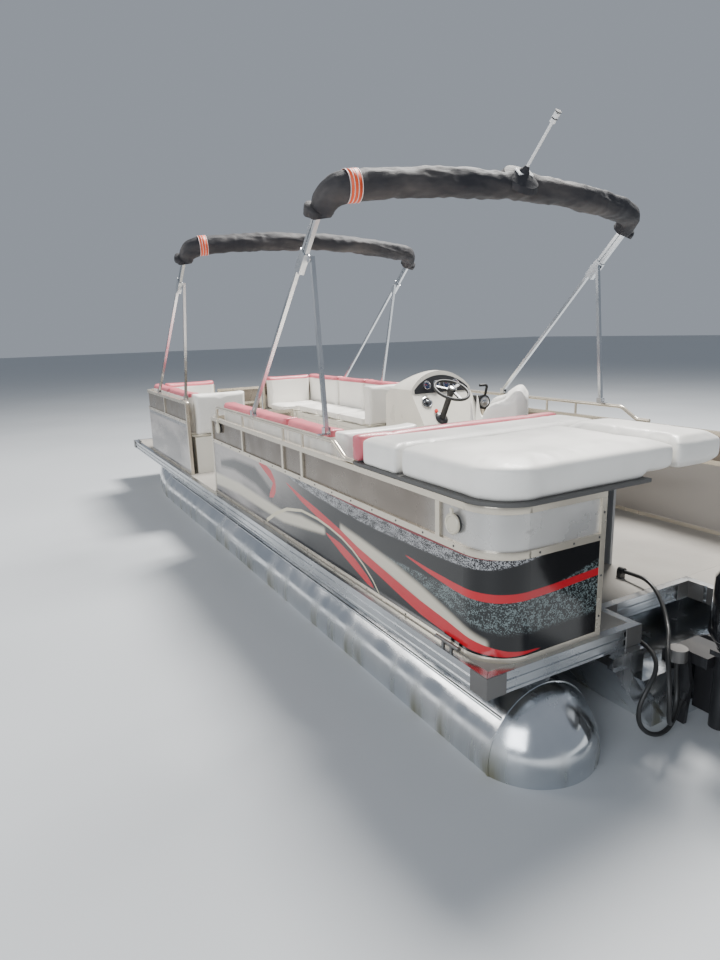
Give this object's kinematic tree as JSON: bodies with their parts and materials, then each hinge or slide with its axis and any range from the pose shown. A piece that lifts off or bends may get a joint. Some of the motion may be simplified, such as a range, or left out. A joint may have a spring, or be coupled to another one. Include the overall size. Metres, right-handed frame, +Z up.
{
  "type": "pontoon boat",
  "caption": "Open-deck leisure boat on two metal tubes, with railed deck, lounges, sun pad, helm console, folded awnings and a tilting outboard motor.",
  "frame": {"origin": "waterline, amidships of the deck, on the centreline", "axes": "+Y to the bow, +X to starboard, +Z up"},
  "size_m": [2.638, 8.435, 3.8193],
  "materials": {
    "tube_metal": "polished and water-marked",
    "frame_metal": "mill",
    "rail_metal": "satin anodised",
    "cap_metal": "satin",
    "fence_metal": "champagne satin",
    "skirt_paint": "gloss with stripes",
    "panel_paint": "satin taupe",
    "hinge_steel": "bright",
    "deck_floor": "woven vinyl",
    "moulded_cream": "satin",
    "moulded_grey": "satin",
    "vinyl_cream": "soft vinyl",
    "vinyl_pink": "faded vinyl",
    "dash_black": "satin",
    "wheel_black": "satin",
    "boot_fabric": "canvas",
    "light_white": "gloss",
    "outboard_black": "satin",
    "cowl_black": "gloss",
    "hose_rubber": "satin"
  },
  "bodies": {
    "hull": {"pontoon_port": "tube_metal", "pontoon_starboard": "tube_metal", "motor_pod": "tube_metal", "transom": "tube_metal", "cross_members": "frame_metal", "tube_risers": "frame_metal", "deck": "deck_floor", "deck_rail": "rail_metal", "rail_caps": "cap_metal", "fence_frame": "fence_metal", "fence_skirts": "skirt_paint", "fence_panels": "panel_paint", "handrails": "fence_metal", "gate_hinges": "hinge_steel", "lounge_bases": "moulded_cream", "lounge_seats": "vinyl_cream", "lounge_backs": "vinyl_cream", "sun_pad_base": "moulded_grey", "sun_pad_tray": "moulded_cream", "sun_pad_cushions": "vinyl_cream", "sun_pad_bolster": "vinyl_pink", "console": "moulded_cream", "dash": "dash_black", "steering_column": "wheel_black", "throttle_control": "wheel_black", "chair_pedestal": "rail_metal", "awning_feet": "hinge_steel", "outboard_clamp": "outboard_black", "cleats": "cap_metal", "panel_fittings": "outboard_black", "rigging_fitting": "cap_metal", "hose_glands": "outboard_black", "hose_outer": "hose_rubber", "hose_inner": "hose_rubber"},
    "gate_port": {"gate_port_frame": "fence_metal", "gate_port_skin": "panel_paint"},
    "gate_bow": {"gate_bow_frame": "fence_metal", "gate_bow_skin": "panel_paint"},
    "gate_stern": {"gate_stern_frame": "fence_metal", "gate_stern_skin": "panel_paint"},
    "wheel": {"steering_wheel": "wheel_black"},
    "chair": {"chair_plate": "moulded_cream", "chair_seat": "vinyl_cream", "chair_back": "vinyl_cream"},
    "awning_aft": {"awning_aft_frame": "rail_metal", "awning_aft_boot": "boot_fabric", "all_round_light": "light_white"},
    "awning_aft_strut_pair": {"awning_aft_struts": "rail_metal"},
    "awning_forward": {"awning_forward_frame": "rail_metal", "awning_forward_boot": "boot_fabric"},
    "awning_forward_strut_pair": {"awning_forward_struts": "rail_metal"},
    "outboard_bracket": {"outboard_swivel": "outboard_black"},
    "outboard": {"outboard_leg": "outboard_black", "outboard_cowl": "cowl_black"},
    "screw": {"propeller": "hinge_steel"}
  },
  "joints": [
    {"name": "gate_port_hinge", "type": "hinge", "parent": "hull", "child": "gate_port", "pos_m": [-1.234, 0.112, 0.9], "axis": [0, 0, 1], "range_deg": [0, 90]},
    {"name": "gate_bow_hinge", "type": "hinge", "parent": "hull", "child": "gate_bow", "pos_m": [-0.318, 2.944, 0.9], "axis": [0, 0, 1], "range_deg": [-90, 0]},
    {"name": "gate_stern_hinge", "type": "hinge", "parent": "hull", "child": "gate_stern", "pos_m": [0.978, -3.754, 0.9], "axis": [0, 0, 1], "range_deg": [-90, 0]},
    {"name": "outboard_tilt", "type": "hinge", "parent": "hull", "child": "outboard_bracket", "pos_m": [0, -3.84, 0.35], "axis": [-1, 0, 0], "range_deg": [0, 60]},
    {"name": "outboard_steer", "type": "hinge", "parent": "outboard_bracket", "child": "outboard", "pos_m": [0, -4.02, 0], "axis": [0, 0, 1], "range_deg": [-30, 30]},
    {"name": "propeller_spin", "type": "hinge", "parent": "outboard", "child": "screw", "pos_m": [0, -4.416, -0.495], "axis": [0, 1, 0], "continuous": true},
    {"name": "wheel_turn", "type": "hinge", "parent": "hull", "child": "wheel", "pos_m": [0.487, -1.2, 1.45], "axis": [0, 0.4695, -0.8829], "range_deg": [-540, 540]},
    {"name": "chair_swivel", "type": "hinge", "parent": "hull", "child": "chair", "pos_m": [0.487, -1.74, 0.99], "axis": [0, 0, 1], "continuous": true},
    {"name": "awning_aft_fold", "type": "hinge", "parent": "hull", "child": "awning_aft", "pos_m": [0, -1.01, 1.39], "axis": [1, 0, 0], "range_deg": [0, 35]},
    {"name": "awning_aft_strut_fold", "type": "hinge", "parent": "hull", "child": "awning_aft_strut_pair", "pos_m": [0, -2.17, 1.39], "axis": [-1, 0, 0], "range_deg": [0, 82]},
    {"name": "awning_forward_fold", "type": "hinge", "parent": "hull", "child": "awning_forward", "pos_m": [0, 2.15, 1.345], "axis": [1, 0, 0], "range_deg": [0, 35]},
    {"name": "awning_forward_strut_fold", "type": "hinge", "parent": "hull", "child": "awning_forward_strut_pair", "pos_m": [0, 1.11, 1.345], "axis": [1, 0, 0], "range_deg": [0, 74]}
  ],
  "couplings": [
    {"joint": "wheel_turn", "follows": "outboard_steer", "ratio": 18}
  ]
}
